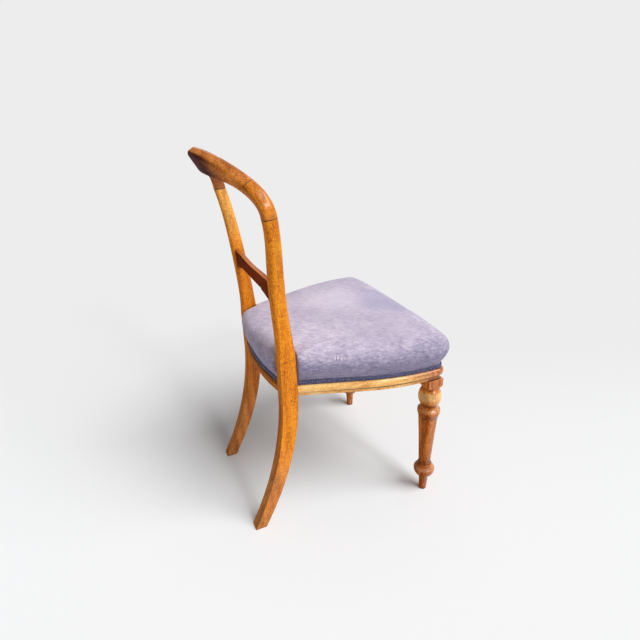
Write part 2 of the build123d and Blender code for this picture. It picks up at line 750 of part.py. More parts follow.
# ---- corner blocks --------------------------------------------------------------------------------
corner_blocks = {}
for name, plan in block_plans.items():
    with BuildPart() as corner_block:
        with BuildSketch(Plane.XY.offset(block_low_z)):
            with BuildLine():
                Polyline(*plan, close=True)
            make_face()
        extrude(amount=corner_block_height)
        screw_bores()
    corner_blocks[f"corner_block_{name}_left"] = corner_block
    with BuildPart() as corner_block:
        add(mirror(corner_blocks[f"corner_block_{name}_left"].part, about=Plane.YZ, mode=Mode.PRIVATE))
    corner_blocks[f"corner_block_{name}_right"] = corner_block

# ---- dowels, screws and tacks: each kind is one group of separate solids ---------------------------
with BuildPart() as hoop_dowels:
    with Locations(*both_sides(hoop_planes)):
        Cylinder(hoop_dowel_radius, hoop_dowel_length)
with BuildPart() as mid_rail_dowels:
    with Locations(*both_sides(mid_rail_planes)):
        Cylinder(slim_dowel_radius, slim_dowel_length)
with BuildPart() as seat_frame_dowels:
    with Locations(*both_sides(frame_planes)):
        Cylinder(dowel_radius, dowel_length)
with BuildPart() as corner_block_screws:
    screws(both_sides(screw_planes))
with BuildPart() as webbing_tacks:
    with Locations(*tack_places):
        Cylinder(tack_radius, tack_length, align=(Align.CENTER, Align.CENTER, Align.MAX))
        Cylinder(tack_head_radius, tack_head_height, align=(Align.CENTER, Align.CENTER, Align.MIN))

# ---- webbing and hessian --------------------------------------------------------------------------
with BuildPart() as long_webbing:
    with BuildSketch(Plane.XY.offset(rail_top_z)):
        with Locations(*[(x, (front_inner_y + back_inner_y) / 2) for x in webbing_x]):
            Rectangle(webbing_width, back_inner_y - front_inner_y + 2 * webbing_lap)
    extrude(amount=webbing_thickness)
    tack_bores()

with BuildPart() as cross_webbing:
    # each strap goes over and under the long ones in turn
    for row, strap_y in enumerate(webbing_y):
        upper = []
        for column, strap_x in enumerate(webbing_x):
            over = (row + column) % 2 == 0
            level = webbing_thickness if over else -webbing_thickness
            half = webbing_width / 2 + webbing_play
            upper += [
                (strap_x - half - webbing_rise, 0),
                (strap_x - half, level),
                (strap_x + half, level),
                (strap_x + half + webbing_rise, 0),
            ]
        upper = [(-far / 4, 0)] + upper + [(far / 4, 0)]
        lower = [(x, z + webbing_thickness) for x, z in reversed(upper)]
        with BuildSketch(Plane((0, strap_y, rail_top_z), x_dir=(1, 0, 0), z_dir=(0, -1, 0))):
            with BuildLine():
                Polyline(*upper, *lower, close=True)
            make_face()
        extrude(amount=webbing_width / 2, both=True)
    extrude(
        seat_plan(webbing_inset, corner_radius - webbing_inset, rail_top_z - 2 * webbing_thickness),
        amount=6 * webbing_thickness,
        mode=Mode.INTERSECT,
    )
    tack_bores()

with BuildPart() as hessian:
    extrude(
        seat_plan(webbing_inset, corner_radius - webbing_inset, webbing_top_z),
        amount=hessian_thickness,
    )
    cut_posts(cover_gap)

# ---- stuffing and velvet cover: sides that swell over the frame, and a crown -----------------------
# Three stretches, one above the other: the side swells out from the braid, rolls over the edge of
# the seat, and rises gently to the crown, where the plan shrinks towards the middle.
side_steps, roll_steps, crown_steps = 4, 6, 4


def upholstery(shrink=0.0):
    """Sections of the stuffed form, its surface drawn in by shrink."""
    foot_z = moulding_top_z + braid_height
    edge_z = crown_z - crown_rise
    sections = [(moulding_top_z, cover_inset, 1.0)]
    for step in range(side_steps):
        turn = pi / 2 * step / side_steps
        swell = (cover_inset + upholstery_overhang) * sin(turn)
        sections.append((foot_z + (bulge_z - foot_z) * step / side_steps, cover_inset - swell, 1.0))
    for step in range(roll_steps):
        turn = pi / 2 * step / roll_steps
        roll = edge_roll * (1 - cos(turn))
        sections.append((bulge_z + (edge_z - bulge_z) * sin(turn), roll - upholstery_overhang, 1.0))
    for step in range(crown_steps):
        factor = 1 - (1 - crown_top_share) * step / (crown_steps - 1)
        height = edge_z + crown_rise * (1 - factor**2)
        sections.append((height, edge_roll - upholstery_overhang, factor))
    drop = shrink / (crown_z - moulding_top_z)
    return [
        seat_plan(
            inset + shrink,
            max(corner_radius - inset - shrink, corner_radius / 2 - shrink),
            height - drop * (height - moulding_top_z),
            factor,
        )
        for height, inset, factor in sections
    ]


with BuildPart() as stuffing:
    loft(upholstery(cover_thickness + cover_gap), ruled=True)
    cut_posts(cover_gap + cover_thickness + cover_gap)
    with BuildSketch(Plane.XY.offset(webbing_top_z + hessian_thickness)):
        Rectangle(far, far)
    extrude(amount=far, mode=Mode.INTERSECT)

with BuildPart() as seat_cover:
    loft(upholstery(), ruled=True)
    cut_posts(cover_gap)
    with BuildPart(mode=Mode.PRIVATE) as hollow:
        loft(upholstery(cover_thickness), ruled=True)
        cut_posts(cover_gap + cover_thickness)
    add(hollow.part, mode=Mode.SUBTRACT)
    skirt = cover_inset + cover_thickness
    extrude(
        seat_plan(skirt, corner_radius - skirt, moulding_top_z),
        amount=webbing_top_z + hessian_thickness - moulding_top_z,
        mode=Mode.SUBTRACT,
    )

# ---- braid round the foot of the cover ------------------------------------------------------------
with BuildPart() as gimp_braid:
    outer, inner = cover_inset - braid_thickness, cover_inset
    extrude(seat_plan(outer, corner_radius - outer, moulding_top_z), amount=braid_height)
    extrude(
        seat_plan(inner, corner_radius - inner, moulding_top_z),
        amount=braid_height,
        mode=Mode.SUBTRACT,
    )
    cut_posts(cover_gap)

# ---- output ---------------------------------------------------------------------------------------
pieces = {
    "rear_leg_left": rear_leg_left,
    "rear_leg_right": rear_leg_right,
    "shoulder_left": shoulder_left,
    "shoulder_right": shoulder_right,
    "crest_rail": crest_rail,
    "mid_rail": mid_rail,
    "front_leg_left": front_leg_left,
    "front_leg_right": front_leg_right,
    "front_seat_rail": front_rail,
    "back_seat_rail": back_rail,
    "side_seat_rail_left": side_rail_left,
    "side_seat_rail_right": side_rail_right,
    **corner_blocks,
    "hoop_dowels": hoop_dowels,
    "mid_rail_dowels": mid_rail_dowels,
    "seat_frame_dowels": seat_frame_dowels,
    "corner_block_screws": corner_block_screws,
    "long_webbing": long_webbing,
    "cross_webbing": cross_webbing,
    "webbing_tacks": webbing_tacks,
    "hessian": hessian,
    "stuffing": stuffing,
    "seat_cover": seat_cover,
    "gimp_braid": gimp_braid,
}
for name, piece in pieces.items():
    piece.part.label = name
    export_step(piece.part, f"parts/{name}.step")
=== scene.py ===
"""Balloon back dining chair: oak frame, turned front legs, velvet seat and looped braid.

Metres, +Z up.  The sitter faces -Y and the sitter's left is +X.
"""

import bmesh
import bpy
from math import atan2, cos, pi, radians, sin
from mathutils import Matrix, Vector


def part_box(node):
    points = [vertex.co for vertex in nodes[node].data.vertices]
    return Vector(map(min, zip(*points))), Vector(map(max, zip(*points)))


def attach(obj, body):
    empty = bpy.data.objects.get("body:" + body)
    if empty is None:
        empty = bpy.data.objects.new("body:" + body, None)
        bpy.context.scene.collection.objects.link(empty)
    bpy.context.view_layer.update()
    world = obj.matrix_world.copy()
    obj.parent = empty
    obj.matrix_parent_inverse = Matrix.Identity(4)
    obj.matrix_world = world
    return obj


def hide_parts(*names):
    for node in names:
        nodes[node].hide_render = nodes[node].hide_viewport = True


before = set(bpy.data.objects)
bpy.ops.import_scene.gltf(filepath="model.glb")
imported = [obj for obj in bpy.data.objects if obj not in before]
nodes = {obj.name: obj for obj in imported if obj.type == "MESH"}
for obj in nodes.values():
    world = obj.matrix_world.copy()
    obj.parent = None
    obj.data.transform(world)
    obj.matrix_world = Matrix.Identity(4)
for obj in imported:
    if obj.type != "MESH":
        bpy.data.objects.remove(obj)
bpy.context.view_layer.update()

# ---- rear legs ------------------------------------------------------------------------------
# Each rear leg is one length of oak: sabre leg, square post and rounded stile.  The wood is stained
# honey and varnished, worn pale along its edges, with dark pores, specks and knocks.
to_back = (0, 1, 0)
to_left = (1, 0, 0)
to_right = (-1, 0, 0)
downwards = (0, 0, -1)


def shade(red, green, blue):
    """A colour as the eye reads it, 0 to 255, in the linear values that shaders use."""
    linear = [((v / 255 + 0.055) / 1.055) ** 2.4 for v in (red, green, blue)]
    return (*linear, 1.0)


def lit(colour, share):
    """A colour at a share of its own brightness."""
    return shade(*[min(255, v * share) for v in colour])


def feed(tree, fed, inputs):
    """Sets a node's inputs, each to another node's output or to a plain value."""
    for socket, value in inputs.items():
        if isinstance(value, bpy.types.NodeSocket):
            tree.links.new(value, fed.inputs[socket])
        else:
            fed.inputs[socket].default_value = value


def node(tree, kind, inputs=None, **settings):
    """A new shader or geometry node."""
    made = tree.nodes.new(kind)
    for name, value in settings.items():
        setattr(made, name, value)
    feed(tree, made, inputs or {})
    return made


def blank_material(name):
    """A new material, with its tree, its shader and the place on the piece that is shaded."""
    material = bpy.data.materials.new(name)
    material.use_nodes = True
    tree = material.node_tree
    place = node(tree, "ShaderNodeTexCoord").outputs["Object"]
    return material, tree, tree.nodes["Principled BSDF"], place


def maths(tree, operation, first, second=0.0):
    return node(tree, "ShaderNodeMath", {0: first, 1: second}, operation=operation).outputs[0]


def plus(tree, total, *others):
    """The sum of fields and numbers."""
    for other in others:
        total = maths(tree, "ADD", total, other)
    return total


def minus(tree, first, second):
    return maths(tree, "SUBTRACT", first, second)


def times(tree, product, *others):
    """The product of fields and numbers."""
    for other in others:
        product = maths(tree, "MULTIPLY", product, other)
    return product


def weighed(tree, *shares):
    """The sum of fields, each with its share."""
    return plus(tree, *[times(tree, field, share) for field, share in shares])


def swing(tree, field, reach):
    """A field that lies about 0.5, as a shift to both sides."""
    return times(tree, minus(tree, field, 0.5), reach)


def dot(tree, first, second):
    """How far one vector points along another."""
    made = node(tree, "ShaderNodeVectorMath", {0: first, 1: second}, operation="DOT_PRODUCT")
    return made.outputs["Value"]


def axes(tree, place):
    """The x, y and z of a place."""
    return node(tree, "ShaderNodeSeparateXYZ", {0: place}).outputs


def span(tree, value, low, high, to_low=0.0, to_high=1.0):
    """Smooth step from low to high."""
    numbers = {"Value": value, "From Min": low, "From Max": high, "To Min": to_low, "To Max": to_high}
    made = node(tree, "ShaderNodeMapRange", numbers, interpolation_type="SMOOTHSTEP")
    return made.outputs["Result"]


def mixed(tree, factor, under, over):
    """One colour over another."""
    made = node(tree, "ShaderNodeMix", {0: factor, 6: under, 7: over}, data_type="RGBA")
    return made.outputs[2]


def figured(tree, figure, tint, low, high=1.0):
    """A tint that follows the figure, between two shares of its brightness."""
    return mixed(tree, figure, lit(tint, low), lit(tint, high))


def ramp(tree, tone, low, high, dark, mid, light):
    """Dark up to low, light from high, and mid halfway."""
    made = node(tree, "ShaderNodeValToRGB", {0: tone})
    stops = made.color_ramp.elements
    stops[0].position = low
    stops[0].color = shade(*dark)
    stops[1].position = high
    stops[1].color = shade(*light)
    stops.new((low + high) / 2).color = shade(*mid)
    return made.outputs[0]


def noise(tree, place, scale, detail=3.0, roughness=0.5, distortion=0.0):
    """Cloudy noise about 0.5, with scale waves to the metre."""
    numbers = {
        "Vector": place, "Scale": scale, "Detail": detail,
        "Roughness": roughness, "Distortion": distortion,
    }
    return node(tree, "ShaderNodeTexNoise", numbers).outputs["Fac"]


def scaled(tree, place, scale, turn=(0, 0, 0)):
    """Places scaled first and turned after."""
    numbers = {"Vector": place, "Rotation": turn, "Scale": scale}
    return node(tree, "ShaderNodeMapping", numbers).outputs["Vector"]


def drawn_out(tree, grain, share):
    """Places on which a pattern is drawn out along the grain."""
    return scaled(tree, grain, (1, 1, share))


def dots(tree, place, scale, inner, outer, channel):
    """One dot in each cell, with scale cells to the metre, and the cell's own chance number."""
    cells = node(tree, "ShaderNodeTexVoronoi", {"Vector": place, "Scale": scale})
    chance = node(tree, "ShaderNodeSeparateColor", {0: cells.outputs["Color"]}).outputs[channel]
    return span(tree, cells.outputs["Distance"], inner, outer, 1.0, 0.0), chance


def seam(tree, place, point, facing, width):
    """A thin wavering line where a plane cuts the surface, alike on both sides of the chair."""
    x, y, z = axes(tree, place)
    mirrored = node(tree, "ShaderNodeCombineXYZ", {0: maths(tree, "ABSOLUTE", x), 1: y, 2: z}).outputs[0]
    offset = node(tree, "ShaderNodeVectorMath", {0: mirrored, 1: point}, operation="SUBTRACT").outputs[0]
    waver = swing(tree, noise(tree, place, scale=90.0, detail=2.0), width * 0.8)
    away = maths(tree, "ABSOLUTE", plus(tree, dot(tree, offset, facing), waver))
    return span(tree, away, width * 0.35, width, 1.0, 0.0)


def stained_and_shaded(tree, colour, place, facing, figure, rubbed, stains_and_shade):
    """The colour with tinted patches and painted shade on faces turned one way, each growing along a
    direction.
    """
    ragged = 0.04
    for tinting in stains_and_shade:
        seen = span(tree, dot(tree, facing, tinting["faces"]), 0.15, 0.6)
        run = plus(tree, dot(tree, place, tinting["along"]), swing(tree, rubbed, ragged))
        here = times(tree, seen, span(tree, run, tinting["start"], tinting["full"]))
        tinted = mixed(tree, tinting["weight"], colour, figured(tree, figure, tinting["tint"], 0.72))
        colour = mixed(tree, here, colour, tinted)
    return colour


def banded(tree, colour, height, figure, rubbed, bands_at):
    """The colour with paler and darker bands: wear from handling, and painted highlights and shade."""
    for low, high, weight, tint in bands_at:
        half = (high - low) / 2
        away = maths(tree, "ABSOLUTE", minus(tree, height, (low + high) / 2))
        near = span(tree, away, half * 0.5, half * 1.25, weight, 0.0)
        near = times(tree, near, span(tree, rubbed, 0.3, 0.6, 0.45, 1.0))
        colour = mixed(tree, near, colour, figured(tree, figure, tint, 0.74))
    return colour


def wood_marks(tree, place, grain, bands, mottle, specks, knocks):
    """Where the wood has ray flecks, pores, specks and knocks."""
    # short lines across the grain
    rays = noise(tree, scaled(tree, grain, (0.22, 0.22, 1.0)), scale=330.0, detail=1.0)
    rays = times(tree, span(tree, rays, 0.52, 0.62), span(tree, mottle, 0.4, 0.56))
    # fine short dashes along the grain, thick in the early wood
    dash, chance = dots(tree, drawn_out(tree, grain, 0.32), scale=820.0, inner=0.18, outer=0.36, channel=0)
    pores = times(tree, dash, span(tree, plus(tree, chance, bands), 0.85, 1.05))
    # old worm holes, and stain caught in coarse pores
    hole, chance = dots(tree, drawn_out(tree, grain, 0.6), scale=330.0, inner=0.16, outer=0.32, channel=1)
    holed = specks * 0.3
    marks = times(tree, hole, span(tree, chance, 1.0 - holed, 1.04 - holed))
    # dents a few millimetres long, in clusters, filled with dark polish
    dent, chance = dots(tree, drawn_out(tree, grain, 0.45), scale=160.0, inner=0.12, outer=0.34, channel=2)
    clusters = span(tree, noise(tree, place, scale=14.0, detail=2.0), 0.4, 0.58)
    knocked = times(tree, dent, span(tree, chance, 1.0 - knocks, 1.03 - knocks), clusters)
    return rays, pores, marks, knocked


def wear_and_shade(tree, facing, rubbed):
    """The eased surface, edges worn through the varnish, and corners dark with old polish and painted
    shade.
    """
    edge_radius = 0.0017
    corner_reach = 0.012
    eased = node(tree, "ShaderNodeBevel", {"Radius": edge_radius}, samples=6).outputs["Normal"]
    open_air = node(tree, "ShaderNodeAmbientOcclusion", {"Distance": corner_reach}, samples=6).outputs["AO"]
    edge = times(
        tree, span(tree, dot(tree, eased, facing), 0.8, 0.985, 1.0, 0.0),
        span(tree, rubbed, 0.4, 0.58), span(tree, open_air, 0.6, 0.9),
    )
    # corners darkened where other surfaces are near: old polish and painted shade
    corner_polish_and_shade = times(
        tree, span(tree, open_air, 0.3, 0.82, 1.0, 0.0), span(tree, rubbed, 0.25, 0.5, 0.6, 1.0)
    )
    return eased, edge, corner_polish_and_shade


def oak(
    name, light, mid, dark, turn=(0, 0, 0), stains_and_shade=(), bands_at=(), seams=(), feet=0.0,
    specks=0.5, knocks=0.08, flecked=0.2, worn=0.5, grime_and_shade=0.7, relief=1.0,
    gloss=0.42, shine=0.1, coat=0.35, coat_roughness=0.12,
):
    """Varnished oak, with its grain along Z until turn lays it in its own direction.

    A patch of stain or of painted shade is told by the faces it lies on, the direction that it grows
    along and where it starts and is full.  A band is its lowest and highest z, weight and tint, and a
    seam is a point, the direction of its plane and its width.  feet is how high the floor's dirt
    reaches, and grime_and_shade how dark the corners are painted, as old polish and painted shade.
    """
    material, tree, shader, place = blank_material(name)
    grain = scaled(tree, place, (1, 1, 1), turn)
    facing = node(tree, "ShaderNodeNewGeometry").outputs["Normal"]
    _, _, z = axes(tree, place)
    bands = noise(tree, drawn_out(tree, grain, 0.1), scale=55.0, detail=2.0, distortion=0.5)
    fibres = noise(tree, drawn_out(tree, grain, 0.09), scale=620.0, roughness=0.7)
    mottle = noise(tree, drawn_out(tree, grain, 0.3), scale=430.0, detail=4.0, roughness=0.75)
    rubbed = noise(tree, drawn_out(tree, grain, 0.3), scale=140.0, detail=4.0, roughness=0.65)
    tone = weighed(tree, (bands, 0.34), (fibres, 0.26), (mottle, 0.4))
    figure = span(tree, tone, 0.4, 0.6)
    deep = lit(dark, 0.45)
    bare = shade(*[min(255, v * 1.1 + 22) for v in light])
    colour = ramp(tree, tone, 0.415, 0.585, dark, mid, light)
    colour = stained_and_shaded(tree, colour, place, facing, figure, rubbed, stains_and_shade)
    colour = banded(tree, colour, z, figure, rubbed, bands_at)
    rays, pores, marks, knocked = wood_marks(tree, place, grain, bands, mottle, specks, knocks)
    eased, edge, corner_polish_and_shade = wear_and_shade(tree, facing, rubbed)
    for where, weight, over in (
        (rays, flecked, shade(*dark)),
        (pores, 0.5, deep),
        (marks, 0.75, deep),
        (knocked, 0.7, deep),
        (edge, worn, bare),
        # corners painted dark, as old polish and as painted shade
        (corner_polish_and_shade, grime_and_shade, deep),
    ):
        colour = mixed(tree, times(tree, where, weight), colour, over)
    height = minus(tree, times(tree, mottle, 0.6), times(tree, pores, 0.5))
    height = minus(tree, height, plus(tree, marks, knocked))
    if feet:
        # grime and pale scrapes near the floor
        low = span(tree, z, 0.012, feet, 1.0, 0.0)
        dirt = times(tree, low, span(tree, rubbed, 0.42, 0.6))
        scraped = times(tree, low, maths(tree, "MAXIMUM", edge, span(tree, mottle, 0.63, 0.68)))
        colour = mixed(tree, times(tree, dirt, 0.32), colour, deep)
        colour = mixed(tree, times(tree, scraped, 0.75), colour, shade(240, 200, 160))
    for point, direction, width in seams:
        line = seam(tree, place, point, direction, width)
        colour = mixed(tree, times(tree, line, 0.85), colour, shade(70, 30, 12))
        height = minus(tree, height, times(tree, line, 2.0))
    # the back of the frame was never polished, so it is dull
    dull = span(tree, dot(tree, facing, to_back), 0.1, 0.6)
    depth = {"Height": height, "Strength": 0.3 * relief, "Distance": 0.0005, "Normal": eased}
    feed(tree, shader, {
        "Base Color": colour,
        "Normal": node(tree, "ShaderNodeBump", depth).outputs[0],
        "Roughness": plus(
            tree, times(tree, mottle, 0.16), gloss - 0.08, times(tree, corner_polish_and_shade, 0.25), times(tree, dull, 0.3)
        ),
        "Specular IOR Level": shine,
        # the varnish has flowed level over the grain
        "Coat Normal": eased,
        "Coat Weight": times(tree, minus(tree, 1.0, dull), coat),
        "Coat Roughness": coat_roughness,
    })
    return material


def finish_with(material, *names):
    """Gives CAD nodes their material."""
    for name in names:
        nodes[name].data.materials.clear()
        nodes[name].data.materials.append(material)


shoulder_joint = ((0.196, 0.1605, 0.764), (0.0, 0.119, 0.993), 0.0012)
crest_joint = ((0.1665, 0.1836, 0.8156), (-0.739, 0.449, 0.503), 0.0012)
# the rounded stile meets the square post at a shallow slanting step
post_step = ((0.158, 0.13, 0.4464), (0.0, 0.178, 0.984), 0.0008)
post_oak = oak(
    "post_oak", light=(246, 160, 26), mid=(224, 130, 12), dark=(168, 80, 4),
    specks=0.7, knocks=0.2, flecked=0.4, coat=0.25, seams=[shoulder_joint, post_step], feet=0.07,
    # the lower ends are greyer
    bands_at=[(-0.15, 0.2, 0.6, (228, 152, 92))],
    # painted shade low on the back, redder inside the left post and paler up its stile
    stains_and_shade=[
        dict(faces=to_back, along=downwards, start=-0.5, full=-0.38, weight=0.35, tint=(150, 74, 24)),
        dict(faces=to_right, along=to_left, start=0.02, full=0.08, weight=0.5, tint=(226, 124, 26)),
        dict(faces=to_right, along=(3, 0, 1), start=1.0, full=1.2, weight=0.65, tint=(255, 190, 92)),
    ],
)
finish_with(post_oak, "rear_leg_left", "rear_leg_right")

# ---- shoulders and crest rail ---------------------------------------------------------------
# Three shaped pieces of oak close the balloon, dowelled end to end with their grain along the
# hoop.  The crest rail is painted nearly black on its lower back as shade, and the joints have
# opened to thin dark lines.
side_to_side = (0, pi / 2, 0)
shoulder_slope = radians(38)
for side, turn in (("left", shoulder_slope), ("right", -shoulder_slope)):
    shoulder_oak = oak(
        f"shoulder_oak_{side}", light=(228, 142, 40), mid=(200, 114, 22), dark=(150, 76, 10),
        turn=(0, turn, 0), specks=0.25, knocks=0.03, relief=0.5, seams=[shoulder_joint, crest_joint],
        gloss=0.3, coat=0.6, coat_roughness=0.2,
        # dark inside the left shoulder
        stains_and_shade=[
            dict(faces=(-1, 0, -0.3), along=to_left, start=0.05, full=0.15, weight=0.7, tint=(124, 56, 20))
        ],
    )
    finish_with(shoulder_oak, f"shoulder_{side}")
crest_oak = oak(
    "crest_oak", light=(230, 150, 72), mid=(200, 116, 44), dark=(144, 74, 24),
    turn=side_to_side, specks=0.2, relief=0.7, seams=[crest_joint], gloss=0.36, shine=0.03, coat=0.6,
    # painted shade, nearly black, on its lower back, but for the right end
    stains_and_shade=[
        dict(faces=(0, 0.87, -0.49), along=to_left, start=-0.15, full=-0.05, weight=0.97, tint=(62, 8, 22))
    ],
)
finish_with(crest_oak, "crest_rail")

# ---- mid rail -------------------------------------------------------------------------------
# A thin curved rail between the stiles, sawn with a nick at each end of its arched lower edge.
# Its back has a dark stain with painted shade over it, and is dull.
upwards = (0, 0, 1)
rail_oak = oak(
    "mid_rail_oak", light=(206, 120, 50), mid=(176, 92, 30), dark=(120, 56, 18),
    turn=side_to_side, specks=0.3, worn=0.8, gloss=0.6, shine=0.02,
    # dark stain and painted shade all over its back, lighter towards the right end
    stains_and_shade=[
        dict(faces=to_back, along=upwards, start=-1.0, full=-0.5, weight=0.92, tint=(112, 28, 8)),
        dict(faces=to_back, along=to_right, start=-0.04, full=0.1, weight=0.45, tint=(158, 70, 20)),
    ],
)
finish_with(rail_oak, "mid_rail")

# ---- front legs -----------------------------------------------------------------------------
# Turned from square oak: moulded top, block, ball, dished collar, shaft with eight flats, ring and
# toe.  Redder than the rest, with old polish, grime and painted shade dark in the turnings' hollows,
# and painted highlights on the ball, the collar and the ring.
leg_oak = oak(
    "leg_oak", light=(222, 140, 60), mid=(190, 102, 30), dark=(126, 56, 12),
    specks=0.7, knocks=0.16, worn=0.9, grime_and_shade=0.9, feet=0.05, gloss=0.34, coat=0.9,
    # from above: the block; painted highlights on the ball and its middle; painted shade and grime in
    # the neck; a painted highlight on the collar; painted shade and grime in the hollow under it and at
    # the foot of the shaft; a painted highlight on the upper face of the ring and painted shade on its
    # lower face
    bands_at=[
        (0.348, 0.372, 0.5, (236, 164, 104)),
        (0.281, 0.315, 0.7, (255, 184, 96)),
        (0.291, 0.311, 0.75, (255, 212, 140)),
        (0.2665, 0.279, 0.75, (88, 40, 14)),
        (0.2545, 0.2625, 0.6, (226, 168, 108)),
        (0.233, 0.25, 0.5, (108, 54, 22)),
        (0.088, 0.102, 0.55, (96, 44, 20)),
        (0.071, 0.081, 0.6, (234, 164, 120)),
        (0.052, 0.063, 0.5, (112, 58, 30)),
    ],
)
finish_with(leg_oak, "front_leg_left", "front_leg_right")

# ---- seat rails -----------------------------------------------------------------------------
# Four bowed oak rails, moulded on their faces and rebated above for the cover.  They are dowelled
# into the legs, and the side rails are the palest wood of the chair.
to_front = (0, -1, 0)
front_to_back = (pi / 2, 0, 0)
moulded = dict(specks=0.3, worn=0.8, gloss=0.34, coat=0.7)
front_oak = oak(
    "front_rail_oak", light=(240, 180, 104), mid=(214, 142, 66), dark=(156, 88, 34),
    turn=side_to_side, **moulded,
)
finish_with(front_oak, "front_seat_rail")
side_oak = oak(
    "side_rail_oak", light=(255, 216, 142), mid=(246, 186, 104), dark=(198, 120, 54),
    turn=front_to_back, **moulded,
    # darker towards the front legs, on both outer faces
    stains_and_shade=[
        dict(faces=outer, along=to_front, start=0.1, full=0.2, weight=0.85, tint=(210, 134, 76))
        for outer in (to_right, to_left)
    ],
)
finish_with(side_oak, "side_seat_rail_left", "side_seat_rail_right")
back_oak = oak(
    "back_rail_oak", light=(222, 144, 62), mid=(192, 108, 34), dark=(136, 68, 16),
    turn=side_to_side, specks=0.4, worn=0.8, gloss=0.4,
)
finish_with(back_oak, "back_seat_rail")

# ---- corner blocks, dowels, screws and tacks ------------------------------------------------
# Sawn beech blocks, glued into the corners of the seat frame with two steel screws each.  Beech
# dowels join the frame, the hoop and the mid rail, and steel tacks hold the webbing.
beech = oak(
    "beech", light=(222, 184, 132), mid=(204, 160, 108), dark=(164, 116, 70),
    specks=0.1, worn=0.2, gloss=0.6,
)
for end in ("front", "rear"):
    finish_with(beech, f"corner_block_{end}_left", f"corner_block_{end}_right")
finish_with(beech, "hoop_dowels", "mid_rail_dowels", "seat_frame_dowels")


def blued_steel():
    """Blued steel with rust in blotches."""
    material, tree, shader, place = blank_material("blued_steel")
    rust = noise(tree, place, scale=900.0, detail=4.0, roughness=0.6)
    blotches = span(tree, rust, 0.5, 0.68)
    feed(tree, shader, {
        "Metallic": 1.0,
        "Base Color": mixed(tree, blotches, shade(120, 122, 128), shade(96, 58, 36)),
        "Roughness": span(tree, rust, 0.3, 0.7, 0.32, 0.75),
    })
    return material


finish_with(blued_steel(), "corner_block_screws", "webbing_tacks")

# ---- webbing and hessian --------------------------------------------------------------------
# Jute straps woven over and under each other and tacked to the rails; over them one sheet of
# hessian, cut to the seat.
webbing_pitch = 0.0024
hessian_pitch = 0.0018


def woven(name, light, dark, pitch):
    """Plain weave of flat yarns, which follow each other at the pitch."""
    material, tree, shader, place = blank_material(name)
    x, y, _ = axes(tree, scaled(tree, place, (1 / pitch, 1 / pitch, 1 / pitch)))
    warp = maths(tree, "ABSOLUTE", maths(tree, "SINE", times(tree, x, pi)))
    weft = maths(tree, "ABSOLUTE", maths(tree, "SINE", times(tree, y, pi)))
    squares = plus(tree, maths(tree, "FLOOR", x), maths(tree, "FLOOR", y))
    over = maths(tree, "ABSOLUTE", maths(tree, "MODULO", squares, 2.0))
    weave = node(tree, "ShaderNodeMix", {0: over, 2: warp, 3: weft}).outputs[0]
    slub = noise(tree, place, scale=700.0, detail=4.0, roughness=0.7)
    tone = times(tree, weave, plus(tree, slub, 0.5))
    depth = {"Height": tone, "Strength": 0.6, "Distance": pitch * 0.3}
    feed(tree, shader, {
        "Base Color": mixed(tree, tone, shade(*dark), shade(*light)),
        "Normal": node(tree, "ShaderNodeBump", depth).outputs[0],
        "Roughness": 0.9,
    })
    return material


jute = woven("jute_webbing", (196, 158, 102), (116, 82, 44), webbing_pitch)
finish_with(jute, "long_webbing", "cross_webbing")
finish_with(woven("hessian_cloth", (188, 152, 104), (98, 70, 40), hessian_pitch), "hessian")

# ---- seat: velvet over curled hair ----------------------------------------------------------
# One piece of dusty lavender velvet, pulled down over the stuffing, cut round the rear posts and
# tacked along the rebate.  The pulled pad is blown up from a smaller form as cloth.
foot_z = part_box("gimp_braid")[0].z
hessian_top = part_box("hessian")[1].z
post_face_x = 0.128
post_face_y = 0.112
post_clearance = 0.0006
hessian_clearance = 0.0003
cover_thickness = 0.002
hem_height = 0.003
hem_clearance = 0.0004
voxel = 0.005
welded = 1e-6


def merged_copy(name, node_name):
    """A copy of a CAD node with its loose triangles joined."""
    mesh = nodes[node_name].data.copy()
    mesh.name = name
    obj = bpy.data.objects.new(name, mesh)
    bpy.context.scene.collection.objects.link(obj)
    shape = bmesh.new()
    shape.from_mesh(mesh)
    bmesh.ops.remove_doubles(shape, verts=shape.verts, dist=welded)
    shape.to_mesh(mesh)
    shape.free()
    return obj


def apply_modifiers(obj):
    """Turns the object's evaluated shape into its mesh."""
    graph = bpy.context.evaluated_depsgraph_get()
    mesh = bpy.data.meshes.new_from_object(obj.evaluated_get(graph))
    obj.modifiers.clear()
    obj.data = mesh


def clamped(value):
    """The value, kept from 0 to 1."""
    return max(0.0, min(1.0, value))


def clear_of_posts(point):
    """Keeps a point of the cover out of the corners where the rear posts stand."""
    into_x = abs(point.x) - post_face_x + post_clearance
    into_y = point.y - post_face_y + post_clearance
    if into_x > 0 and into_y > 0:
        if into_x < into_y:
            point.x -= into_x if point.x > 0 else -into_x
        else:
            point.y -= into_y
    return point


def pulled_out(shape, edges):
    """A new ring of faces from the edges, as its points and its edges."""
    ring = bmesh.ops.extrude_edge_only(shape, edges=edges)["geom"]
    ring_points = [part for part in ring if isinstance(part, bmesh.types.BMVert)]
    return ring_points, [part for part in ring if isinstance(part, bmesh.types.BMEdge)]


